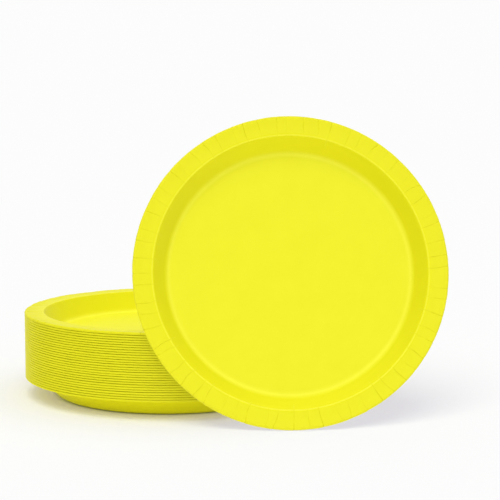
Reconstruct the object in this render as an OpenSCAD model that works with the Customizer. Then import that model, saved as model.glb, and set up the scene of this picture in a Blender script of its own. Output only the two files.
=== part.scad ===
// Stack of round paper plates with one plate leaning on it.
// Each plate is one pressed sheet of paperboard: a flat floor, a sloped wall,
// a pleated rim and a turned-down lip. Units are millimetres, +Z is up, and the
// origin is the centre of the stack's foot on the floor.

/* [Plate] */
// Outer diameter across the lip
plate_d = 229; // [210:1:250]
// Height from the foot to the top of the rim
plate_h = 16.2; // [14:0.1:18]
// Thickness of the paperboard
board_t = 0.45; // [0.4:0.05:0.6]
// Width from the crown of the rim to the outer edge
rim_w = 14; // [12:0.5:18]
// Slope of the wall above the horizontal, in degrees
wall_slope = 58; // [48:1:60]
// Radius of the underside where the floor bends up into the wall
heel_r = 5; // [3:0.5:8]
// Radius of the underside where the wall bends over into the rim
shoulder_r = 1.25; // [1:0.25:3]

/* [Rim and lip] */
// Fall of the rim outwards from its crown, in degrees
rim_fall = 1; // [0.5:0.5:5]
// Radius of the underside where the rim bends down into the lip
roll_r = 0.9; // [0.5:0.1:1.2]
// Slope of the lip below the horizontal, in degrees
lip_slope = 72.5; // [70:0.5:75]
// Length of the lip's straight edge, along its slope
lip_len = 1.2; // [1:0.1:2]

/* [Pleats] */
// Number of pleats round the rim
pleats = 64; // [48:4:72]
// Depth of each pleat where the rim meets the lip
pleat_depth = 0.25; // [0.15:0.05:0.3]
// Width of each pleat where the rim meets the lip
pleat_w = 1.2; // [0.8:0.1:1.6]
// Distance outwards from the crown at which each pleat starts
pleat_start = 1; // [0.5:0.5:3]
// Furthest that a pleat strays from even spacing, in degrees
pleat_stray = 0.9; // [0:0.1:1.2]

/* [Stack] */
// Number of plates in the stack
plates = 28; // [20:1:28]
// Gap between each plate's lip and the roll of the plate below
seat_gap = 0.2; // [0.1:0.05:0.3]

/* [Leaning plate] */
// Lean of the plate back from upright, in degrees
lean = 15; // [12:1:20]
// How far to the right of the stack's centre the plate leans
lean_x = 87; // [60:1:100]
// Gap between the plate and the stack that it leans on
lean_gap = 0.2; // [0.1:0.05:0.5]

/* [Hidden] */
function plate_name(i) = str("plate_", i < 10 ? "0" : "", i);

plate_r = plate_d / 2;
// Facets of a full turn, and steps in the bends of the profile.
turn_fn = 240;
heel_steps = 4;
shoulder_steps = 3;
roll_steps = 3;
// How far each pleat's cutter stands above its root.
pleat_top = 2;

// A point at distance r from a centre, in a direction given as an angle.
function polar(r, a) = [r * cos(a), r * sin(a)];

// Centres of the three bends, in the plane of radius and height.
// The angles are those of the board's normal, which starts straight up.
wall_normal = 90 + wall_slope;
rim_normal = 90 - rim_fall;
lip_normal = 90 - lip_slope;
crown = [plate_r - rim_w, plate_h];
shoulder_c = crown - [0, shoulder_r + board_t];
// The straight wall ends against both bends, so its length follows the height.
wall_top = shoulder_c + polar(shoulder_r, wall_normal);
wall_foot_z = heel_r - polar(heel_r, wall_normal)[1];
wall_len = (wall_top[1] - wall_foot_z) / sin(wall_slope);
wall_foot = wall_top - wall_len * [cos(wall_slope), sin(wall_slope)];
heel_c = wall_foot + polar(heel_r, wall_normal);

// The outer edge of the lip lies at the plate's radius.
lip_dir = [cos(lip_slope), -sin(lip_slope)];
rim_dir = [cos(rim_fall), -sin(rim_fall)];
roll_reach = polar(roll_r + board_t, lip_normal)[0] + lip_len * lip_dir[0];
roll_start = shoulder_c + polar(shoulder_r - roll_r, rim_normal);
rim_len = (plate_r - roll_reach - roll_start[0]) / rim_dir[0];
roll_c = roll_start + rim_len * rim_dir;
lip_edge = roll_c + polar(roll_r + board_t, lip_normal) + lip_len * lip_dir;

// A plate sinks into the one below until the inner edge of its lip meets the
// roll there. A lip long enough to lie along the lip below rests on its face.
face_pitch = (board_t + seat_gap) / cos(lip_slope);
seat_len = min(lip_len, face_pitch * sin(lip_slope));
seat_edge = polar(roll_r, lip_normal) + seat_len * lip_dir;
seat_r = roll_r + board_t + seat_gap;
pitch = sqrt(seat_r * seat_r - seat_edge[0] * seat_edge[0]) - seat_edge[1];

// Points of a bend, from one angle to another.
function bend(c, r, a0, a1, steps) =
    [for (i = [0 : steps]) c + polar(r, a0 + (a1 - a0) * i / steps)];

// One face of the board, at a distance above its underside.
function face(t) = concat(
    [[0, t]],
    bend(heel_c, heel_r - t, -90, wall_normal - 180, heel_steps),
    bend(shoulder_c, shoulder_r + t, wall_normal, rim_normal, shoulder_steps),
    bend(roll_c, roll_r + t, rim_normal, lip_normal, roll_steps),
    [roll_c + polar(roll_r + t, lip_normal) + lip_len * lip_dir]);

function reversed(v) = [for (i = [len(v) - 1 : -1 : 0]) v[i]];

module board() {
    rotate_extrude($fn = turn_fn)
        polygon(concat(face(0), reversed(face(board_t))));
}

// A pleat is a V-groove scored in the upper face. It starts at nothing just
// outside the crown and deepens outwards, where there is more board to gather.
module pleat() {
    inner = crown + pleat_start * rim_dir;
    run = rim_len - pleat_start;
    dip = rim_fall + atan2(pleat_depth, run);
    flank = pleat_w / 2 / pleat_depth;
    translate([inner[0], 0, inner[1]])
        rotate([0, dip, 0])
            rotate([90, 0, 90])
                linear_extrude(run + rim_w)
                    polygon([[0, 0], [flank * pleat_top, pleat_top], [-flank * pleat_top, pleat_top]]);
}

// The spacing of the pleats wavers a little, as it does in pressed board.
function pleat_angle(i) = i * 360 / pleats + pleat_stray * sin(i * 137.5);

module plate() {
    difference() {
        board();
        for (i = [0 : pleats - 1])
            rotate(pleat_angle(i))
                pleat();
    }
}

module stacked_plate(i) {
    color("yellow")
        translate([0, 0, (i - 1) * pitch])
            plate();
}

// Height of the underside above the foot, at a distance from the plate's axis.
function underside(r) = lookup(r, face(0));

// The leaning plate stands on the lowest point of its lip.
stand_z = plate_r * cos(lean) - lip_edge[1] * sin(lean);

// How far behind the leaning plate's origin its underside lies, where it passes
// a point dx beside the origin and dz above it. Each pass refines the last.
function reach_back(dx, dz, passes) =
    let (dy = passes == 0 ? dz * tan(lean) : reach_back(dx, dz, passes - 1),
        up = dy * sin(lean) + dz * cos(lean))
    (dz * sin(lean) - underside(norm([dx, up])) + lean_gap) / cos(lean);

// The plate stands as far back as the lip of the topmost plate lets it.
stack_lip = concat(bend(roll_c, roll_r + board_t, rim_normal, lip_normal, roll_steps), [lip_edge]);
stand_y = min([for (p = stack_lip, a = [210 : 1 : 330])
    p[0] * sin(a) - reach_back(p[0] * cos(a) - lean_x, p[1] + (plates - 1) * pitch - stand_z, 8)]);

module leaning_plate() {
    color("gold")
        translate([lean_x, stand_y, stand_z])
            rotate([90 - lean, 0, 0])
                plate();
}

for (i = [1 : plates])
    stacked_plate(i);
leaning_plate();
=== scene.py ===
"""Stack of round yellow paper plates, with one more plate leaning on it.

Every plate is one sheet of pressed paperboard. Its mesh is worked out here at
its true section, with the pleats that gather the rim, and replaces its CAD node.
All lengths are in metres, in the frame of the CAD model.
"""
import math
from types import SimpleNamespace

import bpy
import numpy as np
from mathutils import Matrix, Vector


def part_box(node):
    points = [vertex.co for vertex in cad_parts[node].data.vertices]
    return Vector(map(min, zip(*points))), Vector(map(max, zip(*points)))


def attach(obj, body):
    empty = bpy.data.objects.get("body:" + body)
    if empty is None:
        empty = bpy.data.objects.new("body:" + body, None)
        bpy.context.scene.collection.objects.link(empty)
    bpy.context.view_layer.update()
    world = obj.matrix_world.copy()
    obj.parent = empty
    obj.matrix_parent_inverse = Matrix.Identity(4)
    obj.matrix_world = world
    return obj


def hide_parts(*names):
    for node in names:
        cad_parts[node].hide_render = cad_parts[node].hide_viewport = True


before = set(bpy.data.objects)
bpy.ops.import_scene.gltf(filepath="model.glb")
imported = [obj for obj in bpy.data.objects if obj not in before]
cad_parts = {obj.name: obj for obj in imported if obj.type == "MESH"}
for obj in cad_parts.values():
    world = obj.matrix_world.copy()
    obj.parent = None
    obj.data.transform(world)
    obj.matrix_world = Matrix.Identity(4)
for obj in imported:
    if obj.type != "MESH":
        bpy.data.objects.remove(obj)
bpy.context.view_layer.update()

MM = 0.001
PLATE_NAMES = sorted(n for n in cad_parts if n.startswith("plate_"))
TOP_NAME = PLATE_NAMES[-1]
LEANING_NAME = "leaning_plate"

# Sizes of one plate, measured on the frame's own nodes
first_low, first_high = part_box(PLATE_NAMES[0])
PLATE_R = (first_high.x - first_low.x) / 2
PLATE_H = first_high.z - first_low.z
PITCH = (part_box(TOP_NAME)[0].z - first_low.z) / (len(PLATE_NAMES) - 1)

# Section of the pressed board
BOARD = 0.45 * MM
RIM_W = 14 * MM
WALL_SLOPE = math.radians(58)
HEEL_R = 7.5 * MM
SHOULDER_R = 1.25 * MM
RIM_FALL = math.radians(-1)
RIM_SAG = 0.25 * MM
ROLL_R = 0.75 * MM
LIP_SLOPE = math.radians(72.5)
LIP_LEN = 0.88 * MM
# Only edges sharper than this stay sharp in the shading: those where the board is cut.
SHARP_ANGLE = math.radians(50)

# Each part of the section spans a range of zones. A row's zone says how strongly
# the pleats and the painted light and shade show there: 1 is the crown of the rim, 2 the board's
# edge.
ZONES = {
    "floor": (0.0, 0.0),
    "heel": (0.0, 0.3),
    "wall": (0.3, 0.85),
    "shoulder": (0.85, 1.0),
    "rim": (1.0, 1.8),
    "roll": (1.8, 1.92),
    "lip": (1.92, 2.0),
}

# Rows of faces in each part of the section, on the two plates seen whole and on the others
FINE_ROWS = {"floor": 6, "heel": 9, "wall": 6, "shoulder": 6, "rim": 10, "roll": 6, "lip": 2}
PLAIN_ROWS = {"floor": 1, "heel": 3, "wall": 1, "shoulder": 2, "rim": 3, "roll": 4, "lip": 1}

# Columns of vertices in each panel between two creases: their distances from
# either crease, and their places in between as shares of the panel's width
FINE_COLUMNS = ((0.0, 0.18 * MM, 0.38 * MM, 0.7 * MM), (0.2, 0.4, 0.6, 0.8))
PLAIN_COLUMNS = ((0.0,), (0.25, 0.5, 0.75))

# Pleats of the rim: the CAD's own spacing, and a further stray as a share of it
PLEATS = 64
PLEAT_STRAY = math.radians(0.9)
GOLDEN_TURN = math.radians(137.5)
MORE_STRAY = 0.35
# Half the width of a crease's valley
VALLEY_W = 0.3 * MM
# A crease's kink is a wave that runs through this angle from the crown to the edge.
KINK_TURN = 5.5
# Share of the panels that tilt against the rest
COUNTER_TILT = 0.25

# Where features come in along the section: the zone where each starts to show,
# and the stretch over which it grows to its full strength
PANELS_SHOW = (0.97, 0.9)
LIP_WAVERS = (1.9, 0.1)
# Each crease begins and fades at zones of its own, over these stretches.
CREASE_STRETCH = 0.35
PAUSE_STRETCH = 0.12
# A crease leaves a faint tail in the wall: how far below the crown the longest
# starts, the stretch over which it comes in, and its share of the crease's depth
TAIL_REACH = 0.55
TAIL_STRETCH = 0.3
TAIL_DEPTH = 0.4

# Painted light and shade on the board, as a value along the colour stops: from 0 for the
# painted highlight on the crown to 1 in a crease. The heel gets a painted highlight between floor
# and wall.
FLOOR_STOP = 0.07
HEEL_HIGHLIGHT = 0.1
WALL_SHADE = 0.16
RIM_SHADE = 0.22
LIP_SHADE = 0.62
# Where each further painted shade and darkening comes in: its start and its stretch
WALL_SHADE_IN = (0.0, 0.3)
RIM_SHADE_IN = (0.9, 0.15)
PANEL_SHADE_IN = (1.0, 0.2)
EDGE_DARKENING_IN = (1.05, 0.8)
LIP_SHADE_IN = (1.84, 0.08)
# The painted highlight along the crown: the zone of its middle, and half its width
CROWN_HIGHLIGHT = (0.975, 0.03)
# Place across a panel where the one-sided painted shade changes its sign
PANEL_SHADE_MIDDLE = 0.6

# What the mottled dye is multiplied by at each value: painted highlights on the crown and heel,
# painted shade on the wall, rim and lip, darkest in the creases
LIGHT_AND_SHADE_STOPS = (
    (0.0, (1.03, 1.03, 2.2)),
    (FLOOR_STOP, (0.993, 0.993, 1)),
    (HEEL_HIGHLIGHT, (1.055, 1.055, 1.7)),
    (WALL_SHADE, (0.955, 0.94, 0.36)),
    (RIM_SHADE, (0.965, 0.958, 0.85)),
    (LIP_SHADE, (0.885, 0.873, 0.48)),
    (1.0, (0.78, 0.74, 0.25)),
)
# Colour of the dye, from the darker to the lighter patches of its mottle
MOTTLE_STOPS = ((0.3, (0.878, 0.849, 0.026)), (0.7, (0.898, 0.868, 0.029)))

# How unevenly a lip wavers round the plate
LIP_UNEVEN = 0.8

# Seeds of the random draws
STACK_SEED = 11
FIRST_PLATE_SEED = 100
LEANING_SEED = 7

# Pose of the leaning plate
LEAN = math.radians(15)
LEAN_X = 87 * MM

# White of the surround, as the camera sees it
WHITE = 0.975


def polar(length, angle):
    """A vector in the plane of radius and height."""
    return np.array([length * math.cos(angle), length * math.sin(angle)])


def section(rows_in):
    """Rows of the board's underside from the centre out: points, normals' angles and zones."""
    wall_normal = math.pi / 2 + WALL_SLOPE
    rim_normal = math.pi / 2 - RIM_FALL
    lip_normal = math.pi / 2 - LIP_SLOPE
    wall_dir = polar(1, WALL_SLOPE)
    rim_dir = polar(1, -RIM_FALL)
    lip_dir = polar(1, -LIP_SLOPE)

    crown = np.array([PLATE_R - RIM_W, PLATE_H])
    shoulder_c = crown - np.array([0, SHOULDER_R + BOARD])
    wall_top = shoulder_c + polar(SHOULDER_R, wall_normal)
    heel_top_z = HEEL_R + polar(HEEL_R, wall_normal - math.pi)[1]
    wall_len = (wall_top[1] - heel_top_z) / math.sin(WALL_SLOPE)
    wall_foot = wall_top - wall_len * wall_dir
    heel_c = wall_foot + polar(HEEL_R, wall_normal)
    roll_reach = polar(ROLL_R + BOARD, lip_normal)[0] + LIP_LEN * lip_dir[0]
    bend_change = polar(SHOULDER_R - ROLL_R, rim_normal)
    rim_len = (PLATE_R - roll_reach - shoulder_c[0] - bend_change[0]) / rim_dir[0]
    roll_c = shoulder_c + bend_change + rim_len * rim_dir

    rows = []

    def steps(part):
        """Shares of the way along a part, with the zone at each."""
        zone_from, zone_to = ZONES[part]
        count = rows_in[part]
        for i in range(1, count + 1):
            share = i / count
            yield share, zone_from + (zone_to - zone_from) * share

    def line(part, start, direction, length, angle, sag=0.0):
        for share, zone in steps(part):
            # A sag bows the line down between its ends, and its normals turn with it.
            low = polar(-sag * math.sin(math.pi * share) ** 2, angle)
            bow = math.atan(sag * math.pi / length * math.sin(2 * math.pi * share))
            rows.append((start + direction * length * share + low, angle + bow, zone))

    def bend(part, centre, radius, angle_from, angle_to, inner=False):
        for share, zone in steps(part):
            angle = angle_from + (angle_to - angle_from) * share
            # An inner bend's normal points to its centre, an outer bend's away from it.
            normal = angle + math.pi if inner else angle
            rows.append((centre + polar(radius, angle), normal, zone))

    for share, zone in steps("floor"):
        # The floor's rings lie closer together towards the wall.
        place = math.sin(share * math.pi / 2)
        rows.append((np.array([place * heel_c[0], 0.0]), math.pi / 2, zone))
    bend("heel", heel_c, HEEL_R, -math.pi / 2, wall_normal - math.pi, inner=True)
    line("wall", wall_foot, wall_dir, wall_len, wall_normal)
    bend("shoulder", shoulder_c, SHOULDER_R, wall_normal, rim_normal)
    line("rim", shoulder_c + polar(SHOULDER_R, rim_normal), rim_dir, rim_len, rim_normal, RIM_SAG)
    bend("roll", roll_c, ROLL_R, rim_normal, lip_normal)
    line("lip", roll_c + polar(ROLL_R, lip_normal), lip_dir, LIP_LEN, lip_normal)
    return [np.array(column) for column in zip(*rows)]


def smooth(x):
    """Eases from 0 to 1."""
    x = np.clip(x, 0.0, 1.0)
    return x * x * (3 - 2 * x)


def come_in(zone, feature):
    """Strength of a feature at a zone, from 0 before its start to 1 at its full strength."""
    start, stretch = feature
    return smooth((zone - start) / stretch)


def bell(x, width):
    """A soft peak at 0 with a height of 1."""
    return np.exp(-(x / width) ** 2)


def draw_pleats(rng):
    """Draws what differs between the creases, and between the panels from each to the next."""
    pleat = SimpleNamespace()
    pleat.turn = rng.uniform(0, 2 * math.pi)
    index = np.arange(PLEATS)
    even = index * 2 * math.pi / PLEATS + PLEAT_STRAY * np.sin(index * GOLDEN_TURN)
    pleat.crease = even + rng.uniform(-1, 1, PLEATS) * PLEAT_STRAY * MORE_STRAY
    pleat.gap = np.roll(pleat.crease, -1) - pleat.crease
    pleat.gap[-1] += 2 * math.pi
    # Each crease slants and kinks on its way out.
    pleat.slant = rng.normal(0, 1.1, PLEATS) * MM / PLATE_R
    pleat.kink = rng.normal(0, 0.5, PLEATS) * MM / PLATE_R
    # Each panel tilts and bulges.
    tilt = rng.normal(0.08, 0.07, PLEATS) * MM
    pleat.tilt = np.where(rng.random(PLEATS) < COUNTER_TILT, -tilt, tilt)
    pleat.bulge = rng.normal(0.03, 0.035, PLEATS) * MM
    # Each crease has its own depth, zone where it begins and length of tail.
    pleat.notch = rng.uniform(0.03, 0.2, PLEATS) * MM
    pleat.begin = rng.uniform(0.72, 1.2, PLEATS)
    pleat.tail = rng.uniform(0.1, 0.85, PLEATS)
    # Each crease fades somewhere on its way out.
    pleat.pause = rng.uniform(1.15, 1.75, PLEATS)
    pleat.pause_depth = rng.uniform(0.0, 0.8, PLEATS)
    # Each panel stands a little higher or lower, and gets painted shade of its own, darker towards
    # one crease.
    pleat.lift = rng.normal(0, 0.025, PLEATS) * MM
    pleat.streak = rng.uniform(0.0, 1.0, PLEATS)
    return pleat


def panel_columns(gap, near, inner):
    """Columns of vertices all round a plate.

    Gives the panel of each, its place across the panel as a share of the panel's
    width, and its distance from the nearer crease.
    """
    panel, share, offset = [], [], []
    for i in range(PLEATS):
        width = gap[i] * PLATE_R
        back = near[:0:-1]
        panel += [i] * (len(near) + len(inner) + len(back))
        share += [x / width for x in near] + list(inner) + [1 - x / width for x in back]
        offset += [*near, *(min(s, 1 - s) * width for s in inner), *back]
    return np.array(panel), np.array(share), np.array(offset)


def shell_faces(rings, columns):
    """Faces of a closed shell: a fan of triangles at each end, and quads from ring to ring."""
    faces = []
    last = 1 + (rings - 1) * columns
    end = last + columns
    for c in range(columns):
        d = (c + 1) % columns
        faces.append((0, 1 + c, 1 + d))
        faces.append((end, last + d, last + c))
    for k in range(rings - 1):
        a = 1 + k * columns
        b = a + columns
        for c in range(columns):
            d = (c + 1) % columns
            faces.append((a + c, b + c, b + d, a + d))
    return faces


def plate_mesh(name, seed, dense, warp, shading):
    """One plate with its foot's centre at the origin, its open side up.

    The warp bends the whole plate. The last argument says how high the rim's panels rise
    (relief), how much painted shade darkens the rim (rim), the lip (lip) and each panel from one
    side, and how much darker the rim gets towards its edge (fade). Only a dense plate has darkened
    creases.
    """
    pleat = draw_pleats(np.random.default_rng(seed))
    points, angles, zones = section(FINE_ROWS if dense else PLAIN_ROWS)
    panel, share, offset = panel_columns(pleat.gap, *(FINE_COLUMNS if dense else PLAIN_COLUMNS))
    after = (panel + 1) % PLEATS
    # The nearer crease's own depth holds on each side of a panel.
    owner = np.where(share < 0.5, panel, after)

    # In the arrays below, the first axis runs over the rows and the second over the columns.
    zone = zones[:, None]
    out = np.clip(zone - 1.0, 0.0, 1.0)

    def sway(crease):
        """How far a crease strays sideways on its way out."""
        return pleat.slant[crease] * out + pleat.kink[crease] * np.sin(out * KINK_TURN)

    start = pleat.crease[panel] + sway(panel)
    end = pleat.crease[panel] + pleat.gap[panel] + sway(after)
    around = start + (end - start) * share + pleat.turn

    # Creases: each fades somewhere on its way out, and some leave a faint tail in the wall.
    reach = smooth((zone - pleat.begin[owner]) / CREASE_STRETCH)
    reach = reach * (1 - pleat.pause_depth[owner] * bell(zone - pleat.pause[owner], PAUSE_STRETCH))
    tail = smooth((zone - 1.0 + TAIL_REACH * pleat.tail[owner]) / TAIL_STRETCH)
    reach = np.maximum(reach, tail * TAIL_DEPTH)
    valley = bell(offset, VALLEY_W)

    # The panels rise, and the creases between them sink.
    rise = (pleat.tilt[panel] * (share - 0.5) + pleat.bulge[panel] * 4 * share * (1 - share)
            + pleat.lift[panel])
    rise = shading["relief"] * rise * come_in(zone, PANELS_SHOW) * np.where(offset == 0, 0.0, 1.0)
    rise = rise - min(shading["relief"], 1.0) * pleat.notch[owner] * reach * valley

    def face(above):
        """Points of one face of the board, at a height above its underside."""
        radius = (points[:, 0] + above * np.cos(angles))[:, None] + rise * np.cos(angles)[:, None]
        height = (points[:, 1] + above * np.sin(angles))[:, None] + rise * np.sin(angles)[:, None]
        # The warp grows towards the rim. Its parts go 2, 5 and 3 times round the plate.
        spread = (radius / PLATE_R) ** 3
        height = height + spread * warp["height"] * np.cos(2 * around + warp["phase"])
        height = height + spread * warp["ripple"] * np.cos(5 * around + 2 * warp["phase"])
        waver = warp["lip"] * (1 + LIP_UNEVEN * np.cos(3 * around - warp["phase"]))
        height = height - come_in(zone, LIP_WAVERS) * waver
        radius = radius + spread * warp["round"] * np.cos(2 * around - warp["phase"])
        return np.stack([radius * np.cos(around) + warp["shift"][0] * spread,
                         radius * np.sin(around) + warp["shift"][1] * spread, height], -1)

    # Painted light and shade along the section: a highlight on the heel, shade on the wall, then
    # the rim, then the lip, and the creases most.
    painted_light_and_fibre = FLOOR_STOP + (WALL_SHADE - FLOOR_STOP) * come_in(zone, WALL_SHADE_IN)
    # Painted shade on the rim, a little darker than the floor.
    painted_light_and_fibre = painted_light_and_fibre + shading["rim"] * come_in(zone, RIM_SHADE_IN)
    # A painted highlight along the crown: the value drops towards 0 there, the lightest stop.
    middle, half_width = CROWN_HIGHLIGHT
    painted_light_and_fibre = painted_light_and_fibre * (1 - bell(zone - middle, half_width))
    # Painted shade on the lip, most on the nested plates, where it lies in the gap under the next
    # plate's lip.
    painted_light_and_fibre = painted_light_and_fibre + shading["lip"] * come_in(zone, LIP_SHADE_IN)
    # Darker towards the rim's edge.
    painted_light_and_fibre = painted_light_and_fibre + shading["fade"] * come_in(zone, EDGE_DARKENING_IN)
    # Painted shade across each panel of the rim, darker towards one of its creases, for the light
    # on its tilt.
    panel_shade = pleat.streak[panel] * (PANEL_SHADE_MIDDLE - share)
    painted_light_and_fibre = painted_light_and_fibre + shading["panel_shade"] * panel_shade * come_in(zone, PANEL_SHADE_IN)
    if dense:
        # Creases are darker: partly the board's fibre, which shows there, and partly painted
        # shade.
        crease_shade_and_fibre = pleat.notch[owner] / pleat.notch.max()
        painted_light_and_fibre = painted_light_and_fibre + (1 - painted_light_and_fibre) * crease_shade_and_fibre * valley * reach

    # The shell runs out over the upper face and back in along the underside.
    rings = np.concatenate([face(BOARD), face(0.0)[::-1]])
    verts = np.concatenate([[[0.0, 0.0, BOARD]], rings.reshape(-1, 3), [[0.0, 0.0, 0.0]]])
    mesh = bpy.data.meshes.new(name)
    mesh.from_pydata(verts.tolist(), [], shell_faces(len(rings), len(panel)))
    mesh.update()
    # Painted light and shade at each vertex, for its colour
    both = np.concatenate([painted_light_and_fibre, painted_light_and_fibre[::-1]]).ravel()
    attribute = mesh.attributes.new("shading", "FLOAT", "POINT")
    attribute.data.foreach_set("value", np.concatenate([[FLOOR_STOP], both, [FLOOR_STOP]]))
    mesh.shade_smooth()
    mesh.set_sharp_from_angle(angle=SHARP_ANGLE)
    return mesh


def add_node(tree, kind, inputs=None, **settings):
    """A new shader node. Its settings come first, because they can change its inputs."""
    node = tree.nodes.new("ShaderNode" + kind)
    for name, value in settings.items():
        setattr(node, name, value)
    for socket, value in (inputs or {}).items():
        node.inputs[socket].default_value = value
    return node


def set_ramp(node, stops):
    """Gives a colour ramp its stops, each a position and a colour."""
    ramp = node.color_ramp
    # A new ramp has its two ends. The others start in the middle, in the right order.
    for _ in stops[2:]:
        ramp.elements.new(0.5)
    for element, (position, colour) in zip(ramp.elements, stops):
        element.position = position
        element.color = (*colour, 1)


def paperboard():
    """Dyed paperboard, pressed smooth: a faint mottle, fine fibres and a satin sheen."""
    material = bpy.data.materials.new("yellow_paperboard")
    material.use_nodes = True
    tree = material.node_tree
    link = tree.links.new
    shader = tree.nodes["Principled BSDF"]
    shader.inputs["Roughness"].default_value = 0.45
    shader.inputs["Specular IOR Level"].default_value = 0.05

    place = add_node(tree, "TexCoord")
    mottle = add_node(tree, "TexNoise", {"Scale": 60, "Detail": 5, "Roughness": 0.6})
    tone = add_node(tree, "ValToRGB")
    set_ramp(tone, MOTTLE_STOPS)
    link(place.outputs["Object"], mottle.inputs["Vector"])
    link(mottle.outputs["Fac"], tone.inputs["Fac"])

    # Painted light and shade: each vertex's value picks a factor for the dye's colour.
    shading = add_node(tree, "Attribute", attribute_name="shading")
    painted_light_ramp = add_node(tree, "ValToRGB")
    set_ramp(painted_light_ramp, LIGHT_AND_SHADE_STOPS)
    shade = add_node(tree, "Mix", {"Factor": 1.0}, data_type="RGBA", blend_type="MULTIPLY")
    link(shading.outputs["Fac"], painted_light_ramp.inputs["Fac"])
    link(tone.outputs["Color"], shade.inputs["A"])
    link(painted_light_ramp.outputs["Color"], shade.inputs["B"])
    link(shade.outputs["Result"], shader.inputs["Base Color"])

    fibre = add_node(tree, "TexNoise", {"Scale": 1600, "Detail": 3})
    bump = add_node(tree, "Bump", {"Strength": 0.12, "Distance": 0.05 * MM})
    link(place.outputs["Object"], fibre.inputs["Vector"])
    link(fibre.outputs["Fac"], bump.inputs["Height"])
    link(bump.outputs["Normal"], shader.inputs["Normal"])
    return material


PAPER = paperboard()


def add_plate(node, mesh, matrix):
    """Puts a plate's mesh where its CAD node is, and lets it stand for the node."""
    mesh.transform(matrix)
    mesh.materials.append(PAPER)
    piece = bpy.data.objects.new(node + "_board", mesh)
    bpy.context.scene.collection.objects.link(piece)
    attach(piece, "root")
    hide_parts(node)
    return piece


def stack():
    """The nested plates. Their lips waver a little, as pressed board does."""
    # The nested plates get the most painted shade on the lip, in the gap under the next plate's
    # lip.
    top_shading = {"relief": 2.0, "rim": 0.06, "fade": 0.2, "lip": 0.2, "panel_shade": 0.2}
    nested_shading = {"relief": 0.12, "rim": 0.06, "fade": 0.0, "lip": 0.32, "panel_shade": 0.0}
    rng = np.random.default_rng(STACK_SEED)
    for i, name in enumerate(PLATE_NAMES):
        warp = {
            "height": rng.normal(0, 0.03) * MM,
            "ripple": rng.normal(0, 0.012) * MM,
            "round": rng.normal(0, 0.015) * MM,
            "lip": rng.uniform(-0.05, 0.07) * MM,
            "phase": rng.uniform(0, 2 * math.pi),
            "shift": rng.normal(0, 0.015, 2) * MM,
        }
        top = name == TOP_NAME
        shading = top_shading if top else nested_shading
        mesh = plate_mesh(name, FIRST_PLATE_SEED + i, top, warp, shading)
        add_plate(name, mesh, Matrix.Translation((0, 0, i * PITCH)))


def leaning():
    """The plate that stands on its lip and leans back on the stack."""
    warp = {
        "height": 0.15 * MM,
        "ripple": 0.05 * MM,
        "round": 0.1 * MM,
        "lip": 0.0,
        "phase": 0.7,
        "shift": (0.0, 0.0),
    }
    shading = {"relief": 1.0, "rim": 0.055, "fade": 0.03, "lip": 0.12, "panel_shade": 0.04}
    mesh = plate_mesh(LEANING_NAME, LEANING_SEED, True, warp, shading)
    # The bottom plate's CAD node has the same form. Turned the same way, it fits the leaning
    # node's own box, which gives the place.
    turn = Matrix.Rotation(math.pi / 2 - LEAN, 4, "X")
    form = np.array([turn @ v.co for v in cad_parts[PLATE_NAMES[0]].data.vertices])
    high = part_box(LEANING_NAME)[1]
    shift = Vector((LEAN_X, high.y - form[:, 1].max(), high.z - form[:, 2].max()))
    piece = add_plate(LEANING_NAME, mesh, Matrix.Translation(shift) @ turn)
    # Fill light in the studio reaches behind this plate, so that it hardly darkens the stack.
    piece.visible_diffuse = False


stack()
leaning()


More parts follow.
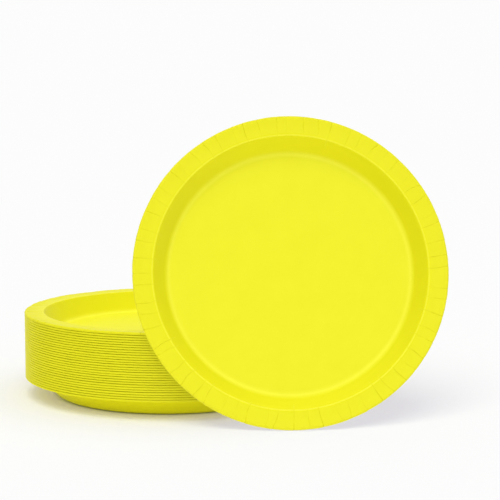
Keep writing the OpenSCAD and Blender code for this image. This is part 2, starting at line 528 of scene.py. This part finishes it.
def studio_floor():
    """A pale floor that keeps the shadows and passes into the white surround far away."""
    # Light that reaches the open floor from the sky and the softbox, and how much of it
    # each channel gives back to the camera
    floor_light = 1.055
    floor_tone = (0.88, 0.92, 0.74)
    # How much light the floor casts back on the plates, and its own faint glow on them
    floor_grey = (0.87,) * 3
    uplight = (0.235,) * 3
    # The glow ends at the foot of the stack, for the camera too, which paints a dark contact
    # shadow on the floor where the two meet.
    foot_r = 86 * MM
    clear_r = 95 * MM
    # Distances from the stack between which the floor passes into the surround
    fade_from = 0.5
    fade_to = 1.6
    half_size = 30.0

    material = bpy.data.materials.new("studio_floor")
    material.use_nodes = True
    tree = material.node_tree
    tree.nodes.clear()
    link = tree.links.new
    path = add_node(tree, "LightPath")
    place = add_node(tree, "TexCoord")
    distance = add_node(tree, "VectorMath", operation="LENGTH")
    link(place.outputs["Object"], distance.inputs[0])

    def by_path(seen, cast):
        """One colour for the camera's rays and another for the light that the floor casts."""
        node = add_node(tree, "Mix", data_type="RGBA")
        node.inputs["A"].default_value = (*cast, 1)
        node.inputs["B"].default_value = (*seen, 1)
        link(path.outputs["Is Camera Ray"], node.inputs["Factor"])
        return node.outputs["Result"]

    def outside(inner_r, outer_r):
        """0 within the inner radius, and 1 beyond the outer one."""
        node = add_node(tree, "MapRange", {"From Min": inner_r, "From Max": outer_r},
                        interpolation_type="SMOOTHSTEP")
        link(distance.outputs["Value"], node.inputs["Value"])
        return node.outputs["Result"]

    # What the floor's tone takes from the open floor's light, its glow gives back to the camera.
    missing = [WHITE - tone * floor_light for tone in floor_tone]
    diffuse = add_node(tree, "BsdfDiffuse")
    link(by_path(floor_tone, floor_grey), diffuse.inputs["Color"])
    glow = add_node(tree, "Emission")
    link(by_path(missing, uplight), glow.inputs["Color"])
    link(outside(foot_r, clear_r), glow.inputs["Strength"])
    near = add_node(tree, "AddShader")
    link(diffuse.outputs[0], near.inputs[0])
    link(glow.outputs[0], near.inputs[1])
    far = add_node(tree, "Emission", {"Color": (1, 1, 1, 1), "Strength": WHITE})
    mix = add_node(tree, "MixShader")
    link(outside(fade_from, fade_to), mix.inputs["Fac"])
    link(near.outputs[0], mix.inputs[1])
    link(far.outputs[0], mix.inputs[2])
    link(mix.outputs[0], add_node(tree, "OutputMaterial").inputs["Surface"])

    mesh = bpy.data.meshes.new("floor")
    corners = [(x * half_size, y * half_size, 0) for x, y in ((-1, -1), (1, -1), (1, 1), (-1, 1))]
    mesh.from_pydata(corners, [], [(0, 1, 2, 3)])
    mesh.materials.append(material)
    floor = bpy.data.objects.new("floor", mesh)
    bpy.context.scene.collection.objects.link(floor)


def surround():
    """A plain white surround for the camera and the board's sheen, and soft light from above."""
    # The sky's light at the horizon, and its rise from there to overhead
    sky_low = 0.04
    sky_rise = 1.12

    world = bpy.data.worlds.new("surround")
    bpy.context.scene.world = world
    world.use_nodes = True
    tree = world.node_tree
    tree.nodes.clear()
    link = tree.links.new
    direction = add_node(tree, "TexCoord")
    axes = add_node(tree, "SeparateXYZ")
    level = add_node(tree, "Math", {1: sky_rise, 2: sky_low}, operation="MULTIPLY_ADD")
    light = add_node(tree, "Background", {"Color": (1, 1, 1, 1)})
    link(direction.outputs["Generated"], axes.inputs[0])
    link(axes.outputs["Z"], level.inputs[0])
    link(level.outputs[0], light.inputs["Strength"])

    path = add_node(tree, "LightPath")
    plain = add_node(tree, "Math", operation="MAXIMUM")
    link(path.outputs["Is Camera Ray"], plain.inputs[0])
    link(path.outputs["Is Glossy Ray"], plain.inputs[1])
    backdrop = add_node(tree, "Background", {"Color": (WHITE, WHITE, WHITE, 1)})
    mix = add_node(tree, "MixShader")
    link(plain.outputs[0], mix.inputs["Fac"])
    link(light.outputs[0], mix.inputs[1])
    link(backdrop.outputs[0], mix.inputs[2])
    link(mix.outputs[0], add_node(tree, "OutputWorld").inputs["Surface"])


def softbox():
    """The main light: broad and soft, from high in front and a little to the left."""
    towards = Vector((-0.125, -0.589, 0.799))
    lamp = bpy.data.lights.new("softbox", "SUN")
    lamp.energy = 1.06
    lamp.angle = math.radians(40)
    key = bpy.data.objects.new("softbox", lamp)
    key.rotation_euler = towards.to_track_quat("Z", "Y").to_euler()
    bpy.context.scene.collection.objects.link(key)


studio_floor()
surround()
softbox()


def camera():
    """The photograph's camera: a long lens from the front, a little above."""
    distance = 1.40
    elevation = math.radians(11.687)
    pan = math.radians(2.616)
    tilt = math.radians(4.557)
    focal_px = 1756.0
    frame_px = 500.0
    place = Vector((0, -distance * math.cos(elevation), distance * math.sin(elevation)))
    # The view is tilted up from the foot of the stack and panned to the right.
    fall = tilt - elevation
    level = math.cos(fall)
    forward = Vector((math.sin(pan) * level, math.cos(pan) * level, math.sin(fall)))
    lens = bpy.data.cameras.new("camera")
    lens.sensor_width = 36.0
    lens.lens = focal_px / frame_px * lens.sensor_width
    lens.clip_start = 0.01
    lens.clip_end = 100.0
    eye = bpy.data.objects.new("camera", lens)
    eye.location = place
    eye.rotation_euler = forward.to_track_quat("-Z", "Y").to_euler()
    bpy.context.scene.collection.objects.link(eye)
    bpy.context.scene.camera = eye


camera()
bpy.context.scene.view_settings.view_transform = "Standard"
